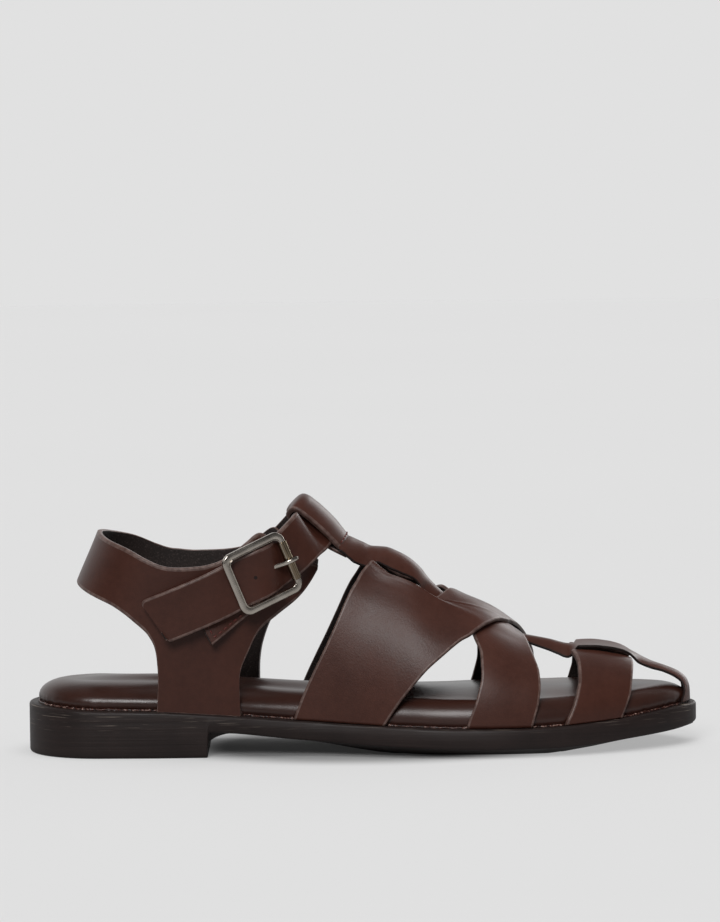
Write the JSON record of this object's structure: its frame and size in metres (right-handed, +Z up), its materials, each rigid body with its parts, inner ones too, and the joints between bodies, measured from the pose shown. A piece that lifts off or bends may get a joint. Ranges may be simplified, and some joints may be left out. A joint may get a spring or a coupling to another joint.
{
  "type": "fisherman sandal",
  "caption": "Flat leather fisherman sandal for the right foot: woven strap upper with a T-bar, ankle strap with a roller buckle, padded insole and a moulded sole with a low heel",
  "frame": {"origin": "On the floor, under the middle of the sole's length and of the whole shoe's width", "axes": "+X from heel to toe, +Y to the inner (medial) side, +Z up"},
  "size_m": [0.29, 0.0953, 0.111],
  "materials": {
    "sole": "semi-matte moulded sole with fine layered lines round its edge",
    "insole_leather": "glossy padded leather insole",
    "strap_leather": "smooth semi-gloss dark brown leather with painted edges",
    "buckle_metal": "polished gunmetal plating"
  },
  "bodies": {
    "root": {"outsole": "sole", "insole": "insole_leather", "upper": "strap_leather", "quarter": "strap_leather", "ankle_strap": "strap_leather", "buckle_tab": "strap_leather", "buckle_frame": "buckle_metal", "buckle_roller": "buckle_metal", "buckle_prong": "buckle_metal"}
  },
  "joints": []
}
